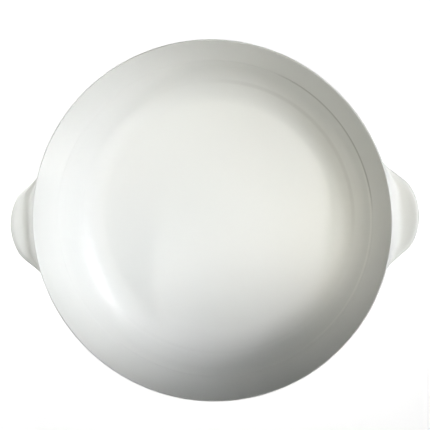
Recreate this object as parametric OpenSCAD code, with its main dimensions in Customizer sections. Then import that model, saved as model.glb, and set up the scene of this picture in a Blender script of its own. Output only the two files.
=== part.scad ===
// Soup plate with two lug ears, formed and fired as one piece of glazed porcelain.
// It stands on its foot ring: the origin is at the middle of the ring, +Z is up and the ears lie along X.

/* [Bowl] */
// Outside diameter of the rim, without the ears
rim_d = 220; // [200:1:232]
// Height from the foot ring to the top of the lip
height = 44; // [40:0.5:48]
// Thickness of the band below the lip and of the rounded lip
lip_t = 3; // [2.6:0.1:4.4]
// Width of the band in plan, from the outside of the rim to the turned line
flare_w = 13; // [10:0.5:15]
// Slope of the band, in degrees from level
flare_angle = 54; // [50:1:57]
// Slope of the wall below the band, in degrees from level
wall_angle = 61; // [59:1:64]
// Thickness of the wall below the band
wall_t = 4.8; // [4:0.1:6]
// Radius inside, where the floor turns up into the wall
bowl_r = 26; // [20:1:28]
// Radius outside, where the underside turns up into the wall
heel_r = 26; // [20:1:28]
// Radius outside, in the hollow where the wall turns out into the band
neck_r = 20; // [12:1:24]
// Thickness of the floor
floor_t = 5; // [4:0.1:6.5]
// Width of the fine line turned between the wall and the band
line_w = 0.7; // [0.4:0.1:1.2]

/* [Foot ring] */
// Outside diameter of the foot ring
foot_d = 134; // [112:1:138]
// Width of the foot ring where it stands
foot_w = 4.5; // [3.5:0.1:6]
// Height of the foot ring below the underside
foot_h = 3.5; // [2.6:0.1:4.5]
// Rounding of the foot ring's two edges
foot_edge_r = 0.9; // [0.5:0.1:1.2]
// Radius where the foot ring grows out of the underside
foot_root_r = 1.4; // [0.8:0.1:1.6]

/* [Ears] */
// How far an ear reaches past the rim
ear_reach = 15.4; // [12:0.2:18]
// Width of an ear where its straight sides would meet the rim
ear_w = 61; // [54:0.5:66]
// Radius of an ear's end, seen from above
ear_end_r = 34.5; // [30:0.5:38]
// Radius of an ear's two corners
ear_corner_r = 7; // [5:0.5:9]
// Angle between an ear's straight sides and its middle line
ear_side_angle = 39; // [34:1:44]
// Radius in the hollow between an ear's side and the rim
ear_root_r = 7; // [5:0.5:10]
// Thickness of an ear at the rim
ear_t = 6; // [5:0.1:7.5]
// Thickness of an ear at its end
ear_end_t = 5; // [4:0.1:6]
// How far an ear's top lies below the top of the lip
ear_drop = 7.2; // [6:0.1:8.4]
// How much an ear's top rises towards its end
ear_rise = 1.2; // [0.2:0.1:2.2]
// Width of the hollow between the lip and an ear's top
ear_hollow_w = 5.4; // [3.5:0.1:7]
// Radius under an ear, where it grows out of the wall
ear_under_r = 6; // [3:0.5:8]

/* [Hidden] */
glaze = [0.93, 0.935, 0.92];
// Steps round a whole turn, for the bowl and for the arcs of its section
turn_steps = 180;
arc_steps = 64;

rim_r = rim_d / 2;
lip_r = lip_t / 2;
lip = [rim_r - lip_r, height - lip_r];
floor_z = foot_h + floor_t;
line_r = rim_r - flare_w;

// Unit vectors along a slope and square to it, on its left
function along(a) = [cos(a), sin(a)];
function square_to(a) = [-sin(a), cos(a)];
// Where the line through p with slope a meets the line through q with slope b
function meet(p, a, q, b) = p + along(a) * cross(q - p, along(b)) / cross(along(a), along(b));

// The section's straight lines, as a point on each
band_in = lip + lip_r * square_to(flare_angle);
band_out = lip - lip_r * square_to(flare_angle);
line_pt = meet(band_in, flare_angle, [line_r, 0], 90);
wall_out = line_pt - wall_t * square_to(wall_angle);
floor_corner = meet(line_pt, wall_angle, [0, floor_z], 0);
heel = meet(wall_out, wall_angle, [0, foot_h], 0);
neck = meet(wall_out, wall_angle, band_out, flare_angle);

// The foot ring stays on the flat of the underside
flat_r = heel.x - heel_r * tan(wall_angle / 2);
foot_r = min(foot_d / 2, flat_r - foot_root_r - 0.2);

// Corner i of an outline: its point, its radius, and the round's two ends and centre
function corner_ends(corners, i) =
    let (n = len(corners), p = corners[i][0], r = corners[i][1],
         to_last = corners[(i + n - 1) % n][0] - p, to_next = corners[(i + 1) % n][0] - p,
         u = to_last / norm(to_last), v = to_next / norm(to_next),
         half = acos(u * v) / 2)
    [p + u * r / tan(half), p + v * r / tan(half), p + (u + v) / norm(u + v) * r / sin(half)];
function bulges(corners, i) =
    let (n = len(corners), p = corners[i][0])
    cross(p - corners[(i + n - 1) % n][0], corners[(i + 1) % n][0] - p) > 0;

// The part of a corner's circle between its straight sides and just past the chord of its round
module corner_round(corners, i) {
    ends = corner_ends(corners, i);
    chord_mid = (ends[0] + ends[1]) / 2;
    intersection() {
        polygon([ends[0], corners[i][0], ends[1], chord_mid + (ends[2] - chord_mid) / 20]);
        translate(ends[2]) circle(corners[i][1], $fn = arc_steps);
    }
}

// Anticlockwise outline with true arcs: corners is a list of [point, radius]
module rounded_outline(corners) {
    rounds = [for (i = [0:len(corners) - 1]) if (corners[i][1] > 0) i];
    difference() {
        union() {
            polygon([for (i = [0:len(corners) - 1])
                each corners[i][1] > 0 ? [corner_ends(corners, i)[0], corner_ends(corners, i)[1]]
                                       : [corners[i][0]]]);
            for (i = rounds) if (bulges(corners, i)) corner_round(corners, i);
        }
        for (i = rounds) if (!bulges(corners, i)) corner_round(corners, i);
    }
}

// Half section of the bowl and its foot ring, from the axis to the lip
module bowl_section() {
    difference() {
        union() {
            rounded_outline([
                [[0, foot_h], 0],
                [[foot_r - foot_w, foot_h], foot_root_r],
                [[foot_r - foot_w, 0], foot_edge_r],
                [[foot_r, 0], foot_edge_r],
                [[foot_r, foot_h], foot_root_r],
                [heel, heel_r],
                [neck, neck_r],
                [band_out, 0],
                [band_in, 0],
                [line_pt, 0],
                [floor_corner, bowl_r],
                [[0, floor_z], 0]]);
            translate(lip) circle(lip_r, $fn = arc_steps);
        }
        translate(line_pt) circle(line_w / 2, $fn = arc_steps / 4);
    }
}

module bowl() {
    rotate_extrude($fn = turn_steps) bowl_section();
}

// An ear seen from above, X along its middle line: end arc, corner arc, straight side, root hollow
end_c = [rim_r + ear_reach - ear_end_r, 0];
side_pt = [sqrt(pow(rim_r, 2) - pow(ear_w / 2, 2)), ear_w / 2];
side_dir = along(-ear_side_angle);
side_in = -square_to(-ear_side_angle);
// Point on the line through p along the side whose distance from c is d
function on_side(p, c, d) =
    let (q = p - c, s = q * side_dir) p + side_dir * (sqrt(s * s - q * q + d * d) - s);
corner_c = on_side(side_pt + side_in * ear_corner_r, end_c, ear_end_r - ear_corner_r);
// The root hollow meets the rim's circle at this angle, and not as a tangent
dive = 14;
root_c = on_side(side_pt - side_in * ear_root_r, [0, 0],
    sqrt(pow(rim_r, 2) + pow(ear_root_r, 2) + 2 * rim_r * ear_root_r * cos(dive)));

// The angles round the bowl where one stretch of that outline goes over into the next
function bearing(p) = atan2(p.y, p.x);
corner_from = bearing(end_c + (corner_c - end_c) * ear_end_r / norm(corner_c - end_c));
side_from = bearing(corner_c - side_in * ear_corner_r);
hollow_from = bearing(root_c + side_in * ear_root_r);
rim_from = bearing(root_c) - acos((pow(rim_r, 2) + root_c * root_c - pow(ear_root_r, 2))
    / (2 * rim_r * norm(root_c)));
tail = 5.5;

// An ear's top, thickness and underside at radius r
ear_z = height - ear_drop;
function reach_share(r) = max(0, (r - rim_r) / ear_reach);
function ear_top(r) = ear_z + ear_rise * pow(reach_share(r), 2);
function ear_under(r) = ear_top(r) - ear_t + (ear_t - ear_end_t) * reach_share(r);

// The wall's outside at the level of an ear's underside, and the middle of the wall's thickness
under_pt = meet(wall_out, wall_angle, [0, ear_z - ear_t], 0);
wall_mid_pt = line_pt - wall_t / 2 * square_to(wall_angle);
function wall_mid(r) = min(
    meet(lip, flare_angle, [r, 0], 90).y,
    meet(wall_mid_pt, wall_angle, [r, 0], 90).y);
step_in = wall_t / 8;

// Radius of an ear's edge at bearing a: past the root it dives under the lip and into the wall
function ray_to_circle(c, r, a, far) =
    c * along(a) + far * sqrt(r * r - pow(cross(c, along(a)), 2));
function edge_r(a) =
    a < corner_from ? ray_to_circle(end_c, ear_end_r, a, 1) :
    a < side_from ? ray_to_circle(corner_c, ear_corner_r, a, 1) :
    a < hollow_from ? norm(meet([0, 0], a, side_pt, -ear_side_angle)) :
    a < rim_from ? ray_to_circle(root_c, ear_root_r, a, -1) :
    let (arc = rim_r * (a - rim_from) * PI / 180, whole = rim_r * tail * PI / 180,
         drop = rim_r - under_pt.x + step_in - whole * tan(dive))
    rim_r - arc * tan(dive) - drop * pow(arc / whole, 2);
function edge_stretch(a) =
    let (da = 0.1, slope = (edge_r(a + da) - edge_r(abs(a - da))) / (edge_r(a) * 2 * da * PI / 180))
    sqrt(1 + slope * slope);

// Points of a curve drawn from p towards q and on to s, or along a quarter ellipse about c
function bend(p, q, s, n) = [for (i = [1:n]) let (t = i / n)
    p * pow(1 - t, 2) + q * 2 * t * (1 - t) + s * t * t];
function quarter(c, rx, rz, from, n) = [for (i = [1:n]) let (a = from - 90 * i / n)
    c + [rx * cos(a), rz * sin(a)]];
function straight(p, q, n) = [for (i = [1:n]) p + (q - p) * i / n];

// Closed section of an ear at bearing a, as points [radius, height], clockwise from inside the lip
function ear_section(a) =
    let (e = edge_r(a),
         lip_pt = [min(rim_r - 0.4, e - 1.4 * step_in), lip.y + 0.25 * lip_r],
         room = e - lip_pt.x,
         hollow = min(ear_hollow_w, 0.42 * room),
         nose = min(ear_t / 2 * edge_stretch(a), 0.42 * room),
         from = lip_pt.x + hollow,
         to = e - nose,
         mid_z = (ear_top(to) + ear_under(to)) / 2,
         half_t = (ear_top(to) - ear_under(to)) / 2,
         fade = min(1, (e - under_pt.x + step_in) / (rim_r - under_pt.x)),
         run = ear_under_r * tan(wall_angle / 2),
         under_from = min(under_pt.x + run, to - 0.4 * step_in),
         under_turn = min(under_pt.x, to - 0.8 * step_in),
         under_to = [min(under_pt.x - run * cos(wall_angle) - 0.6, to - 1.4 * step_in),
                     ear_under(0) - 0.9 * run * sin(wall_angle) * fade],
         root = [min(lip.x, e - 2.8 * step_in), lip.y],
         under_root = [min(under_to.x - wall_t / 3, to - 1.9 * step_in), under_to.y + step_in / 4])
    [for (p = concat(
        [root, lip_pt],
        bend(lip_pt, [lip_pt.x + 0.12 * hollow, ear_top(0)], [from, ear_top(from)], 5),
        [for (i = [1:2]) let (r = from + (to - from) * i / 2) [r, ear_top(r)]],
        quarter([to, mid_z], nose, half_t, 90, 4),
        quarter([to, mid_z], nose, half_t, 0, 4),
        straight([to, ear_under(to)], [under_from, ear_under(under_from)], 2),
        bend([under_from, ear_under(under_from)], [under_turn, ear_under(0)], under_to, 3),
        [under_root]))
        p.x < lip.x ? [p.x, min(p.y, wall_mid(p.x))] : p];

// Bearings of an ear's sections: each stretch of the outline has its own even steps
function steps(from, to, n) = [for (i = [1:n]) from + (to - from) * i / n];
half_bearings = concat(steps(0, corner_from, 4), steps(corner_from, side_from, 3),
    steps(side_from, hollow_from, 3), steps(hollow_from, rim_from, 3), steps(rim_from, rim_from + tail, 5));
bearings = concat([for (i = [len(half_bearings) - 1:-1:0]) -half_bearings[i]], [0], half_bearings);

// Skin over sections of m points each, with a fan about a middle point at both ends
module ear() {
    loops = [for (a = bearings) ear_section(abs(a))];
    n = len(loops);
    m = len(loops[0]);
    middles = [for (k = [0, n - 1]) [for (j = [0, 1]) [for (p = loops[k]) p[j]] * [for (p = loops[k]) 1 / m]]];
    function placed(p, a) = [p.x * cos(a), p.x * sin(a), p.y];
    points = concat(
        [for (k = [0:n - 1]) for (p = loops[k]) placed(p, bearings[k])],
        [placed(middles[0], bearings[0]), placed(middles[1], bearings[n - 1])]);
    faces = concat(
        [for (k = [0:n - 2]) for (j = [0:m - 1]) let (i = k * m, next = (j + 1) % m)
            each [[i + j, i + m + next, i + next], [i + j, i + m + j, i + m + next]]],
        [for (j = [0:m - 1]) [j, (j + 1) % m, n * m]],
        [for (j = [0:m - 1]) [(n - 1) * m + (j + 1) % m, (n - 1) * m + j, n * m + 1]]);
    polyhedron(points, faces, convexity = 6);
}

module soup_plate() {
    color(glaze) union() {
        bowl();
        ear();
        rotate(180) ear();
    }
}

soup_plate();
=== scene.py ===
"""Soup plate with two lug ears: its smooth glazed skin, the studio and the camera."""
import math

import bpy
import numpy as np
from mathutils import Matrix, Vector


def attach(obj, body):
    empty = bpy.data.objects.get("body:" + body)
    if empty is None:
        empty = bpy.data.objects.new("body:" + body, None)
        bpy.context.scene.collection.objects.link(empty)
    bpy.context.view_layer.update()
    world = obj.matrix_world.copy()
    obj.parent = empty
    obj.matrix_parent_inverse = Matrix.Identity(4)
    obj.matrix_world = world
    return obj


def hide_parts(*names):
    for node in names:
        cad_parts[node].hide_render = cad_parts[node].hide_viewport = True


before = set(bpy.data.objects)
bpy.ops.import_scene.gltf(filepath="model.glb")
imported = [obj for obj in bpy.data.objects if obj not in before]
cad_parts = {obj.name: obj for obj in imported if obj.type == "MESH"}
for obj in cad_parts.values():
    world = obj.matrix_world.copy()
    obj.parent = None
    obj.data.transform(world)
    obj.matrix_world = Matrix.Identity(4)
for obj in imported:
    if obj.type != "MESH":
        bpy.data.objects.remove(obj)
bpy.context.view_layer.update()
scene = bpy.context.scene

MM = 0.001
# Sizes in millimetres and angles in degrees, as in the part's source
RIM_R, HEIGHT, LIP_R = 110.0, 44.0, 1.5
LINE_R, BAND_A, WALL_A, WALL_T = 97.0, 54.0, 61.0, 4.8
BOWL_R, HEEL_R, NECK_R, FLOOR_T = 26.0, 26.0, 20.0, 5.0
FOOT_R, FOOT_W, FOOT_H, FOOT_EDGE_R, FOOT_ROOT_R = 67.0, 4.5, 3.5, 0.9, 1.4
REACH, EAR_W, END_R, CORNER_R, SIDE_A, ROOT_R = 15.4, 61.0, 34.5, 7.0, 39.0, 7.0
EAR_T, EAR_END_T, EAR_DROP, EAR_RISE, HOLLOW_W, UNDER_R = 6.0, 5.0, 7.2, 1.2, 5.4, 6.0
DIVE, TAIL = 14.0, 5.5

# The glazed lip has a finer crest than the source's plain round, inside a larger outer round
CREST_R, LIP_OUT_R = 0.4, 2.0
# Bearing on the outer round where the ear's section ends and the crest's begins
LIP_FROM = 8
# Power of the ear's rounded edge: 1 is an ellipse, less is fuller
NOSE = 0.68
# Where the ear's top turns up to the lip: this far inside the rim, on these handles of its curve
LIP_REST = 0.2
HANDLE_IN, HANDLE_OUT, HANDLE_DOWN = 0.42, 0.26, 0.5
# The hollow and the rounded edge each take at most this share of an ear's reach
EAR_SHARE = 0.42
# The ear's section leaves the wall this far below the round under the ear
EAR_FOOT = 3.5
# An ear begins where its edge comes this near to the rim, and is whole this far outside it
EAR_BEGINS, EAR_WHOLE = 7.0, 4.0
# Share of the blend between bowl and ear that is eased at both ends
BLEND_EASE = 0.25

# The turned line and a faint bead low on the wall: how deep or high each is, and how far along
# the wall from its radius it starts, is at its full, and ends
LINE_DEPTH, LINE_AT = 0.25, (-3.7, -0.7, 0.7)
BEAD_R, BEAD_HEIGHT, BEAD_AT = 85.3, 0.10, (-1.6, 0.0, 1.6)
# Share of the band, from the crest down, that is plain
BAND_PLAIN = 0.85

# Points of each section between the foot of an ear and the lip
SIDE_N = 56
# Degrees between sections near the ears and elsewhere, and how far the ears' zone reaches
FINE, COARSE, ZONE = 0.4, 1.35, 25.0
# The ears are softened along the turn over this many sections to either side, by this spread
SOFT_N, SOFT_SPREAD = 6, 0.75


# Plane geometry
def along(deg):
    """The unit direction at an angle."""
    return np.array([math.cos(math.radians(deg)), math.sin(math.radians(deg))])


def square_to(deg):
    return along(deg + 90)


def bearing(p):
    return math.degrees(math.atan2(p[1], p[0]))


def cross(a, b):
    return a[0] * b[1] - a[1] * b[0]


def meet(p, a, q, b):
    """Where the line through p at angle a meets the line through q at angle b."""
    p, q = np.asarray(p, float), np.asarray(q, float)
    return p + along(a) * cross(q - p, along(b)) / cross(along(a), along(b))


def arc(centre, r, a0, a1, n):
    return [np.asarray(centre) + r * along(a) for a in np.linspace(a0, a1, n)]


def rounded(last, p, nxt, r, n):
    """n points of the round of radius r in the corner p, between the points last and nxt."""
    last, p, nxt = (np.asarray(v, float) for v in (last, p, nxt))
    u, v = (w / np.linalg.norm(w) for w in (last - p, nxt - p))
    half = math.acos(np.dot(u, v)) / 2
    c = p + (u + v) / np.linalg.norm(u + v) * r / math.sin(half)
    a0 = bearing(p + u * r / math.tan(half) - c)
    a1 = bearing(p + v * r / math.tan(half) - c)
    return arc(c, r, a0, a0 + (a1 - a0 + 180) % 360 - 180, n)


def straight(p, q, n):
    """n points on the way from p to q, without either end."""
    p, q = np.asarray(p, float), np.asarray(q, float)
    return [p + (q - p) * i / (n + 1) for i in range(1, n + 1)]


def bezier(control, steps):
    """Points of the curve with these control points, at steps from 0 to 1."""
    n = len(control) - 1
    return [sum(math.comb(n, k) * t ** k * (1 - t) ** (n - k) * p for k, p in enumerate(control))
            for t in steps]


def evenly(points, n):
    """n points at equal steps along the path through points."""
    points = np.array(points)
    s = np.concatenate([[0], np.cumsum(np.linalg.norm(np.diff(points, axis=0), axis=1))])
    t = np.linspace(0, s[-1], n)
    return np.stack([np.interp(t, s, points[:, 0]), np.interp(t, s, points[:, 1])], 1)


# The bowl's section: distance from the axis, then height
floor_z = FOOT_H + FLOOR_T
lip = np.array([RIM_R - LIP_R, HEIGHT - LIP_R])
band_in = lip + LIP_R * square_to(BAND_A)
band_out = lip - LIP_R * square_to(BAND_A)
line_pt = meet(band_in, BAND_A, [LINE_R, 0], 90)
wall_out = line_pt - WALL_T * square_to(WALL_A)
floor_corner = meet(line_pt, WALL_A, [0, floor_z], 0)
heel = meet(wall_out, WALL_A, [0, FOOT_H], 0)
neck = meet(wall_out, WALL_A, band_out, BAND_A)

# The lip's outer round, and its crest inside that round at the top
lip_c = meet(band_out + LIP_OUT_R * square_to(BAND_A), BAND_A, [RIM_R - LIP_OUT_R, 0], 90)
crest_in = LIP_OUT_R - CREST_R
crest_from = math.degrees(math.asin((HEIGHT - CREST_R - lip_c[1]) / crest_in))
crest_c = lip_c + crest_in * along(crest_from)
band_rise = crest_c - line_pt
band_in_a = bearing(band_rise) + math.degrees(math.asin(CREST_R / np.linalg.norm(band_rise)))

# An ear's outline from above: an end arc, corner arcs, straight sides and hollows at the rim
end_c = np.array([RIM_R + REACH - END_R, 0.0])
side_pt = np.array([math.sqrt(RIM_R ** 2 - (EAR_W / 2) ** 2), EAR_W / 2])
side_dir, side_in = along(-SIDE_A), -square_to(-SIDE_A)


def on_side(p, c, d):
    """The point at distance d from c on the line through p along the ear's side."""
    q = p - c
    s = float(np.dot(q, side_dir))
    return p + side_dir * (math.sqrt(s * s - np.dot(q, q) + d * d) - s)


corner_c = on_side(side_pt + side_in * CORNER_R, end_c, END_R - CORNER_R)
root_c = on_side(side_pt - side_in * ROOT_R, np.zeros(2),
                 math.sqrt(RIM_R ** 2 + ROOT_R ** 2
                           + 2 * RIM_R * ROOT_R * math.cos(math.radians(DIVE))))
root_d = np.linalg.norm(root_c)
corner_from = bearing(end_c + (corner_c - end_c) * END_R / np.linalg.norm(corner_c - end_c))
side_from = bearing(corner_c - side_in * CORNER_R)
hollow_from = bearing(root_c + side_in * ROOT_R)
rim_from = bearing(root_c) - math.degrees(
    math.acos((RIM_R ** 2 + root_d ** 2 - ROOT_R ** 2) / (2 * RIM_R * root_d)))

# The ear's height, and the round under it where it grows out of the wall
ear_z = HEIGHT - EAR_DROP
under_pt = meet(wall_out, WALL_A, [0, ear_z - EAR_T], 0)
under_run = UNDER_R * math.tan(math.radians(WALL_A) / 2)
ear_low = under_pt - (under_run + EAR_FOOT) * along(WALL_A)
ear_high = lip_c + LIP_OUT_R * along(LIP_FROM)
tail_r = under_pt[0] - WALL_T / 8


def edge_r(a):
    """Radius of an ear's edge at bearing a; past the root it dives under the lip."""
    a = abs(a)
    d = along(a)

    def to_circle(c, r, far):
        return float(np.dot(c, d)) + far * math.sqrt(r * r - cross(c, d) ** 2)
    if a < corner_from:
        return to_circle(end_c, END_R, 1)
    if a < side_from:
        return to_circle(corner_c, CORNER_R, 1)
    if a < hollow_from:
        return float(np.linalg.norm(meet([0, 0], a, side_pt, -SIDE_A)))
    if a < rim_from:
        return to_circle(root_c, ROOT_R, -1)
    if a > rim_from + TAIL:
        return tail_r
    way, whole = math.radians(a - rim_from) * RIM_R, math.radians(TAIL) * RIM_R
    slope = math.tan(math.radians(DIVE))
    return RIM_R - way * slope - (RIM_R - tail_r - whole * slope) * (way / whole) ** 2


def stretch(a, end=0.3, step=0.1):
    """How much longer the edge's round is in a section at bearing a than square to the edge."""
    a = min(abs(a), hollow_from - end)
    slope = (edge_r(a + step) - edge_r(a - step)) / (edge_r(a) * math.radians(2 * step))
    return math.sqrt(1 + slope * slope)


def ear_top(r):
    return ear_z + EAR_RISE * max(0.0, (r - RIM_R) / REACH) ** 2


def ear_under(r):
    return ear_top(r) - EAR_T + (EAR_T - EAR_END_T) * max(0.0, (r - RIM_R) / REACH)


def ear_path(edge, longer):
    """From the wall at ear_low, under the ear, round its edge and up to the lip at ear_high."""
    room = edge - (RIM_R - LIP_REST)
    hollow = min(HOLLOW_W, EAR_SHARE * room)
    nose = min(EAR_T / 2 * longer, EAR_SHARE * room)
    to = edge - nose
    mid, half = (ear_top(to) + ear_under(to)) / 2, (ear_top(to) - ear_under(to)) / 2
    corner = np.array([under_pt[0], ear_under(0)])
    u0, u1 = corner - under_run * along(WALL_A), corner + [under_run, 0]
    path = [ear_low] + straight(ear_low, u0, n=5)
    path += bezier([u0, corner, u1], np.linspace(0, 1, 12))
    path += straight(u1, [to, ear_under(to)], n=7)
    path += [np.array([to + nose * abs(math.cos(t)) ** NOSE,
                       mid + half * math.copysign(abs(math.sin(t)) ** NOSE, t)])
             for t in np.linspace(-math.pi / 2, math.pi / 2, 33)]
    back = RIM_R - LIP_REST + hollow
    path += [np.array([r, ear_top(r)]) for r in np.linspace(to, back, 10)[1:]]
    climb = [np.array([back, ear_top(back)]),
             np.array([back - HANDLE_IN * hollow, ear_top(0)]),
             ear_high + [HANDLE_OUT * hollow, -HANDLE_DOWN * (ear_high[1] - ear_top(0))],
             ear_high]
    return evenly(path + bezier(climb, np.linspace(0, 1, 16)[1:]), SIDE_N)


def relief(wall):
    """The inner wall's points, moved square to it into the line and out over the bead."""
    step = np.gradient(wall, axis=0)
    normal = np.stack([step[:, 1], -step[:, 0]], 1)
    normal /= np.linalg.norm(normal, axis=1)[:, None]
    run = np.concatenate([[0], -np.cumsum(np.linalg.norm(np.diff(wall, axis=0), axis=1))])
    moved = np.zeros(len(wall))
    for r, height, at in ((LINE_R, -LINE_DEPTH, LINE_AT), (BEAD_R, BEAD_HEIGHT, BEAD_AT)):
        middle = np.interp(r, wall[::-1, 0], run[::-1])
        moved += height * np.interp(run - middle, at, (0, 1, 0))
    return wall + normal * moved[:, None]


# Each section in three runs: low, from the axis under the foot up to the foot of an ear
foot_in = FOOT_R - FOOT_W
corners = [[0, FOOT_H], [foot_in, FOOT_H], [foot_in, 0], [FOOT_R, 0], [FOOT_R, FOOT_H],
           heel, neck]
# Of each corner: radius of its round, points in the round, points on the way to it
rounds = [(FOOT_ROOT_R, 6, 10), (FOOT_EDGE_R, 6, 1), (FOOT_EDGE_R, 6, 3), (FOOT_ROOT_R, 6, 1),
          (HEEL_R, 12, 2)]
low = [np.array([0.0, FOOT_H])]
for i, (r, n, before) in enumerate(rounds, 1):
    bend = rounded(corners[i - 1], corners[i], corners[i + 1], r, n)
    low += straight(low[-1], bend[0], before) + bend
low += straight(low[-1], ear_low, n=4)

# Outside, up to the lip's outer round, where the plate has no ear
bend = rounded(heel, neck, band_out, NECK_R, n=8)
outside = [ear_low] + straight(ear_low, bend[0], n=4) + bend
outside += straight(bend[-1], band_out, n=8) + arc(lip_c, LIP_OUT_R, BAND_A - 90, LIP_FROM, n=12)
outside = evenly(outside, SIDE_N)

# High, over the crest and down the band and the wall to the middle of the floor
high = arc(lip_c, LIP_OUT_R, LIP_FROM, crest_from, n=5)[1:]
high += arc(crest_c, CREST_R, crest_from, band_in_a + 90, n=9)[1:]
above_line = high[-1] + (line_pt - high[-1]) * BAND_PLAIN
high += straight(high[-1], above_line, n=4)
bend = rounded(line_pt, floor_corner, [0, floor_z], BOWL_R, n=36)
wall = straight(above_line, line_pt, n=6) + [line_pt] + straight(line_pt, bend[0], n=16) + bend
high += list(relief(np.array(wall)))
high += straight(bend[-1], [0, floor_z], n=14) + [np.array([0.0, floor_z])]


def side_points(around):
    """The middle run at a bearing: the bowl's own, an ear's, or a blend where an ear begins."""
    a = (around + 90) % 180 - 90
    edge, whole_r = edge_r(a), RIM_R + EAR_WHOLE
    if edge <= RIM_R - EAR_BEGINS:
        return outside
    path = ear_path(max(edge, whole_r), stretch(a))
    rest = outside[int(np.argmax(path[:, 0])), 0]
    m = min(1.0, max(0.0, (edge - rest) / (whole_r - rest)))
    m = BLEND_EASE * m * m * (3 - 2 * m) + (1 - BLEND_EASE) * m
    return outside * (1 - m) + path * m


half_turn = np.concatenate([np.arange(-ZONE, ZONE, FINE), np.arange(ZONE, 180 - ZONE, COARSE)])
bearings = np.concatenate([half_turn, half_turn + 180])
sections = np.array([np.vstack([low, side_points(b), high]) for b in bearings])

# The ears' stretch is softened a little along the turn, as glaze softens a form
count = round(2 * ZONE / FINE)
weights = np.exp(-0.5 * (np.arange(-SOFT_N, SOFT_N + 1) * FINE / SOFT_SPREAD) ** 2)
weights /= weights.sum()
span = slice(len(low) - 2, len(low) + SIDE_N)
for start in (0, len(half_turn)):
    part = sections[start:start + count, span].copy()
    padded = np.concatenate([np.repeat(part[:1], SOFT_N, 0), part, np.repeat(part[-1:], SOFT_N, 0)])
    sections[start:start + count, span] = sum(w * padded[k:k + count]
                                              for k, w in enumerate(weights))

# One closed skin: the sections joined round the axis, with a point at the middle of each side
turn = np.radians(bearings)[:, None]
points = np.stack([sections[..., 0] * np.cos(turn), sections[..., 0] * np.sin(turn),
                   sections[..., 1]], -1)
rings, per = points.shape[0], points.shape[1] - 2
verts = np.vstack([points[:, 1:-1].reshape(-1, 3), [[0, 0, FOOT_H], [0, 0, floor_z]]]) * MM
under_mid, floor_mid = rings * per, rings * per + 1
faces = []
for i in range(rings):
    here, there = i * per, (i + 1) % rings * per
    faces += [(here + j, there + j, there + j + 1, here + j + 1) for j in range(per - 1)]
    faces += [(under_mid, there, here), (floor_mid, here + per - 1, there + per - 1)]
mesh = bpy.data.meshes.new("soup_plate_glazed")
mesh.from_pydata(verts.tolist(), [], faces)
mesh.update()
mesh.polygons.foreach_set("use_smooth", [True] * len(mesh.polygons))
plate = bpy.data.objects.new("soup_plate_glazed", mesh)
scene.collection.objects.link(plate)


class Nodes:
    """The emptied node tree of a material or world; a value may be another node's socket."""

    def __init__(self, owner):
        owner.use_nodes = True
        self.tree = owner.node_tree
        self.tree.nodes.clear()

    def add(self, kind, inputs=None, **settings):
        node = self.tree.nodes.new(kind)
        for key, value in settings.items():
            setattr(node, key, value)
        for key, value in (inputs or {}).items():
            if isinstance(value, bpy.types.NodeSocket):
                self.tree.links.new(value, node.inputs[key])
            else:
                node.inputs[key].default_value = value
        return node

    def calc(self, operation, a, b=0.0, clamp=False):
        node = self.add("ShaderNodeMath", {0: a, 1: b}, operation=operation, use_clamp=clamp)
        return node.outputs[0]

    def product(self, a, b):
        return self.calc("MULTIPLY", a, b)

    def rest(self, share):
        """What is left of 1."""
        return self.calc("SUBTRACT", 1.0, share)

    def ramp(self, value, lo, hi):
        """0 below lo and 1 above hi, smooth between them."""
        node = self.add("ShaderNodeMapRange", {"Value": value, "From Min": lo, "From Max": hi},
                        interpolation_type="SMOOTHSTEP")
        return node.outputs["Result"]

    def mix(self, share, a, b):
        """Colour a, with share of it replaced by colour b."""
        node = self.add("ShaderNodeMix", {"Factor": share, 6: a, 7: b}, data_type="RGBA")
        return node.outputs[2]

    def noise(self, place, scale, detail, roughness=0.5):
        node = self.add("ShaderNodeTexNoise", {"Vector": place, "Scale": scale, "Detail": detail,
                                               "Roughness": roughness})
        return node.outputs["Fac"]

    def seen_directly(self):
        """1 for what the camera sees by itself."""
        return self.add("ShaderNodeLightPath").outputs["Is Camera Ray"]


# Glazed porcelain, bare on the foot ring
GLAZE = (0.734, 0.746, 0.724, 1)
GLAZE_WARM = (0.744, 0.751, 0.725, 1)
GLAZE_THIN = (0.762, 0.770, 0.751, 1)
# Painted highlight: a light colour laid along the turned line's edge on one side
GLAZE_PAINTED_HIGHLIGHT = (0.86, 0.86, 0.83, 1)
# Painted shade: a dark grey laid on the turned line and the low wall on one side only
GLAZE_PAINTED_SHADE = (0.47, 0.47, 0.44, 1)
IRON = (0.45, 0.40, 0.33, 1)
BISQUE = (0.74, 0.70, 0.63, 1)
BISQUE_DARK = (0.60, 0.55, 0.47, 1)
GLAZE_IOR = 1.5
# Roughness of the glaze, how much it wanders, and how much rougher the bare clay is
ROUGH, ROUGH_WANDERS, ROUGH_BARE = 0.35, 0.06, 0.60
# Heights in metres: waves of the glaze and tooth of the clay
WAVES, TOOTH = 0.000020, 0.00012

porcelain = bpy.data.materials.new("glazed_porcelain")
nodes = Nodes(porcelain)
place = nodes.add("ShaderNodeTexCoord").outputs["Object"]
xyz = nodes.add("ShaderNodeSeparateXYZ", {0: place})
z = xyz.outputs[2]
flat = nodes.add("ShaderNodeCombineXYZ", {0: xyz.outputs[0], 1: xyz.outputs[1]}).outputs[0]
radius = nodes.add("ShaderNodeVectorMath", {0: flat}, operation="LENGTH").outputs["Value"]
cloud = nodes.noise(place, scale=14.0, detail=3.0, roughness=0.45)
grain = nodes.noise(place, scale=900.0, detail=2.0, roughness=0.6)
off_floor = nodes.ramp(z, 10.5 * MM, 11.0 * MM)


def ring(at, full, gone):
    """1 within full mm of the radius at, 0 further than gone mm from it or low on the plate."""
    off = nodes.calc("ABSOLUTE", nodes.calc("SUBTRACT", radius, at * MM))
    return nodes.product(nodes.rest(nodes.ramp(off, full * MM, gone * MM)), off_floor)


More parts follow.
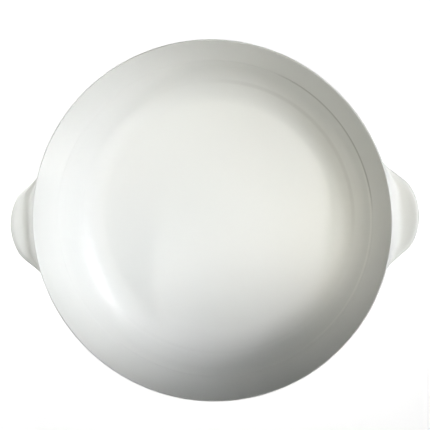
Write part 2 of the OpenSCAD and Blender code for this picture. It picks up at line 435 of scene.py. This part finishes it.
def side(azimuth, lo, hi):
    """1 on the side of the plate towards azimuth; lo and hi are cosines of the angle off it."""
    way = nodes.add("ShaderNodeVectorMath", {0: flat}, operation="NORMALIZE").outputs["Vector"]
    dot = nodes.add("ShaderNodeVectorMath", {0: way, 1: (*along(azimuth), 0)},
                    operation="DOT_PRODUCT")
    return nodes.ramp(dot.outputs["Value"], lo, hi)


# Painted shade and highlight: the turned line is painted darker at one side of the plate and
# lighter along its edge at the other side, and the wall a little darker near the bead on the first
# side; the glaze thins over the lip
line_painted_shade = nodes.product(ring(LINE_R + 0.1, 0.2, 0.7), side(34, 0.82, 0.94))
# Painted highlight along the line's edge, on the side away from the painted shade
line_painted_highlight = nodes.product(ring(LINE_R - 1.0, 0.2, 0.9), side(-18, 0.70, 0.95))
# Painted shade low on the wall near the bead, on the same side as the line's
bead_painted_shade = nodes.product(ring(BEAD_R - 1.0, 0.4, 1.8), side(40, 0.55, 0.90))
on_lip = nodes.ramp(z, (HEIGHT - 1.2) * MM, HEIGHT * MM)
tint = nodes.mix(nodes.ramp(cloud, 0.35, 0.70), GLAZE, GLAZE_WARM)
for where, share, colour in ((on_lip, 0.6, GLAZE_THIN), (line_painted_shade, 0.95, GLAZE_PAINTED_SHADE),
                             (bead_painted_shade, 0.24, GLAZE_PAINTED_SHADE), (line_painted_highlight, 0.55, GLAZE_PAINTED_HIGHLIGHT)):
    tint = nodes.mix(nodes.product(where, share), tint, colour)
# Specks of iron in the glaze, few and small
cells = nodes.add("ShaderNodeTexVoronoi", {"Vector": place, "Scale": 120.0, "Randomness": 1.0})
near = nodes.rest(nodes.ramp(cells.outputs["Distance"], 0.010, 0.028))
some = nodes.ramp(nodes.noise(place, scale=37.0, detail=0.0), 0.70, 0.74)
tint = nodes.mix(nodes.product(nodes.product(near, some), 0.35), tint, IRON)
# The foot ring is wiped bare where it stands
wander = nodes.product(nodes.calc("SUBTRACT", cloud, 0.5), 1.0 * MM)
bare = nodes.rest(nodes.ramp(nodes.calc("ADD", z, wander), 1.1 * MM, 1.4 * MM))
clay = nodes.mix(nodes.ramp(grain, 0.40, 0.68), BISQUE, BISQUE_DARK)
tint = nodes.mix(bare, tint, clay)
rough = nodes.calc("ADD", ROUGH, nodes.product(cloud, ROUGH_WANDERS))
rough = nodes.calc("ADD", rough, nodes.product(bare, ROUGH_BARE), clamp=True)
# Faint unevenness of the glaze, and the bare clay's tooth
ripple = nodes.noise(place, scale=110.0, detail=1.0, roughness=0.4)
uneven = nodes.calc("ADD", nodes.product(ripple, WAVES),
                    nodes.product(nodes.product(grain, bare), TOOTH))
bump = nodes.add("ShaderNodeBump", {"Height": uneven, "Distance": 1.0, "Strength": 1.0})
surface = nodes.add("ShaderNodeBsdfPrincipled", {"Base Color": tint, "Roughness": rough,
                                                 "Normal": bump.outputs[0], "IOR": GLAZE_IOR})
nodes.add("ShaderNodeOutputMaterial", {"Surface": surface.outputs[0]})
mesh.materials.append(porcelain)

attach(plate, "root")
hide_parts("soup_plate")

# Studio floor: pale, and lifted to white only where the camera sees it
FLOOR_HALF, FLOOR_GLOW = 4, 0.86
ground = bpy.data.materials.new("studio_floor")
nodes = Nodes(ground)
pale = nodes.add("ShaderNodeBsdfDiffuse", {"Color": (0.62, 0.62, 0.61, 1), "Roughness": 0.3})
glow = nodes.add("ShaderNodeEmission", {"Color": (1, 1, 1, 1), "Strength": nodes.product(
    nodes.seen_directly(), FLOOR_GLOW)})
both = nodes.add("ShaderNodeAddShader", {0: pale.outputs[0], 1: glow.outputs[0]})
nodes.add("ShaderNodeOutputMaterial", {"Surface": both.outputs[0]})
floor_mesh = bpy.data.meshes.new("floor")
floor_mesh.from_pydata([(x * FLOOR_HALF, y * FLOOR_HALF, 0)
                        for x, y in ((-1, -1), (1, -1), (1, 1), (-1, 1))], [], [(0, 1, 2, 3)])
floor_mesh.materials.append(ground)
floor = bpy.data.objects.new("floor", floor_mesh)
scene.collection.objects.link(floor)

# White surroundings that the camera sees and that light nothing
world = bpy.data.worlds.new("studio")
scene.world = world
nodes = Nodes(world)
sky = nodes.add("ShaderNodeBackground", {"Color": (1, 1, 1, 1),
                                         "Strength": nodes.seen_directly()})
nodes.add("ShaderNodeOutputWorld", {"Surface": sky.outputs[0]})


# Lamps; their places are in metres
def hang(name, light, spot, azimuth, elevation, distance):
    """Aims a lamp at spot from distance metres, at these angles from it."""
    a, e = math.radians(azimuth), math.radians(elevation)
    way = Vector((math.cos(e) * math.cos(a), math.cos(e) * math.sin(a), math.sin(e)))
    lamp = bpy.data.objects.new(name, light)
    lamp.location = Vector(spot) + way * distance
    lamp.rotation_euler = way.to_track_quat("Z", "Y").to_euler()
    scene.collection.objects.link(lamp)


def softbox(name, azimuth, elevation, level, size=1.0, distance=2.0):
    """A large round soft light; level 1 alone lights a facing surface to its own colour."""
    light = bpy.data.lights.new(name, "AREA")
    light.shape = "DISK"
    light.size = size
    light.energy = level * math.pi ** 2 * distance ** 2
    hang(name, light, (0, 0, 0), azimuth, elevation, distance)


def snoot(name, azimuth, elevation, spot, reach, level, edge=1.0, colour=(1, 1, 1), size=0.1,
          distance=1.5):
    """A pool of light round a spot of the plate, reach metres in radius, soft by edge."""
    light = bpy.data.lights.new(name, "SPOT")
    light.shadow_soft_size = size / 2
    light.spot_size = 2 * math.atan(reach / distance)
    light.spot_blend = edge
    light.color = colour
    light.energy = 4 * level * math.pi ** 2 * distance ** 2
    hang(name, light, spot, azimuth, elevation, distance)


# Soft light from the right; its pools leave out the front right of the rim
pool = (-0.03, 0.05, 0.02), 0.11
softbox("key_low", -30, 14, 0.028)
snoot("key", -20, 40, *pool, 0.584, 0.6, (0.99, 0.99, 1.02), size=0.4)
snoot("key_back", 10, 40, *pool, 0.793, 0.6, (0.97, 0.98, 1.06), size=0.4)
snoot("front_high", -60, 56, *pool, 1.066, 0.6, (1.03, 1.01, 0.96), size=0.4)
snoot("top_right", 0, 89, (0.09, 0.03, 0.02), 0.12, 0.139, 0.6)
snoot("top_back", 0, 89, (0.06, 0.06, 0.02), 0.12, 0.154, 0.6, (1.10, 1.06, 0.82))
snoot("top_left", 0, 89, (-0.10, 0.05, 0.02), 0.12, 0.284, 0.6, (1.02, 1.02, 0.96))
# More on the left half, whose wall faces the key
snoot("mid_front", -40, 45, (-0.02, 0.01, 0.02), 0.10, 0.067, 0.8)
snoot("mid_back", 20, 45, (-0.02, 0.01, 0.02), 0.10, 0.235, 0.8, (0.93, 0.97, 1.10))
snoot("left_low", 30, 30, (-0.08, -0.055, 0.02), 0.05, 0.729)
snoot("left_back", 30, 30, (-0.095, 0.02, 0.02), 0.05, 0.243, colour=(0.96, 0.98, 1.06))
snoot("left_wall", -30, 8, (-0.095, 0.04, 0.035), 0.05, 1.379, size=0.2)
snoot("left_band", -30, 4.5, (-0.091, 0.0525, 0.04), 0.06, 0.055, size=0.08)
snoot("left_band_front", 10, 4.5, (-0.103, -0.018, 0.04), 0.06, 0.065, size=0.08)
snoot("front_wall", 60, 50, (-0.035, -0.065, 0.02), 0.04, 0.356)
# Reflectors' light back on to the right wall
snoot("fill", 160, 45, (0.075, 0.0, 0.02), 0.05, 0.109, colour=(1.17, 1.07, 0.76))
snoot("fill_front", 180, 60, (0.05, -0.03, 0.02), 0.06, 0.397, colour=(1.03, 1.01, 0.95))
# Low light on either ear
snoot("left_ear", 150, 25, (-0.1293, 0.0042, 0.0179), 0.035, 1.75)
snoot("right_ear", 20, 25, (0.1219, 0.0029, 0.0199), 0.035, 0.98, colour=(0.97, 0.99, 1.04))
# Level light round the outside, below the rim, so that none of it falls into the bowl
for around, level in ((20, 0.12), (80, 0.15), (140, 0.36), (200, 0.10)):
    snoot("outside_%d" % around, around, 0, (0, 0, 0.022), 0.16, level, 0.6, size=0.04)

# Camera: almost straight above, tilted towards the back right; it looks at a point level with
# the rim, from a distance in metres
TILT, TILT_AZ, ROLL, DISTANCE = 9.00, 33.1, -2.3, 1.2
LOOK_AT = (3.02, 4.19, HEIGHT)
PICTURE_PX, PX_PER_MM, SENSOR_MM = 430, 1.6572, 36
tilt, tilt_az, roll = map(math.radians, (TILT, TILT_AZ, ROLL))
back = Vector((math.sin(tilt) * math.cos(tilt_az), math.sin(tilt) * math.sin(tilt_az),
               math.cos(tilt)))
right = Vector((-math.sin(roll), math.cos(roll), 0)).cross(back).normalized()
pose = Matrix((right, back.cross(right), back)).transposed().to_4x4()
pose.translation = Vector(LOOK_AT) * MM + back * DISTANCE
lens = bpy.data.cameras.new("camera")
lens.sensor_width = SENSOR_MM
lens.lens = SENSOR_MM * PX_PER_MM * DISTANCE / MM / PICTURE_PX
lens.clip_end = 50
camera = bpy.data.objects.new("camera", lens)
camera.matrix_world = pose
scene.collection.objects.link(camera)
scene.camera = camera
scene.view_settings.view_transform = "Standard"
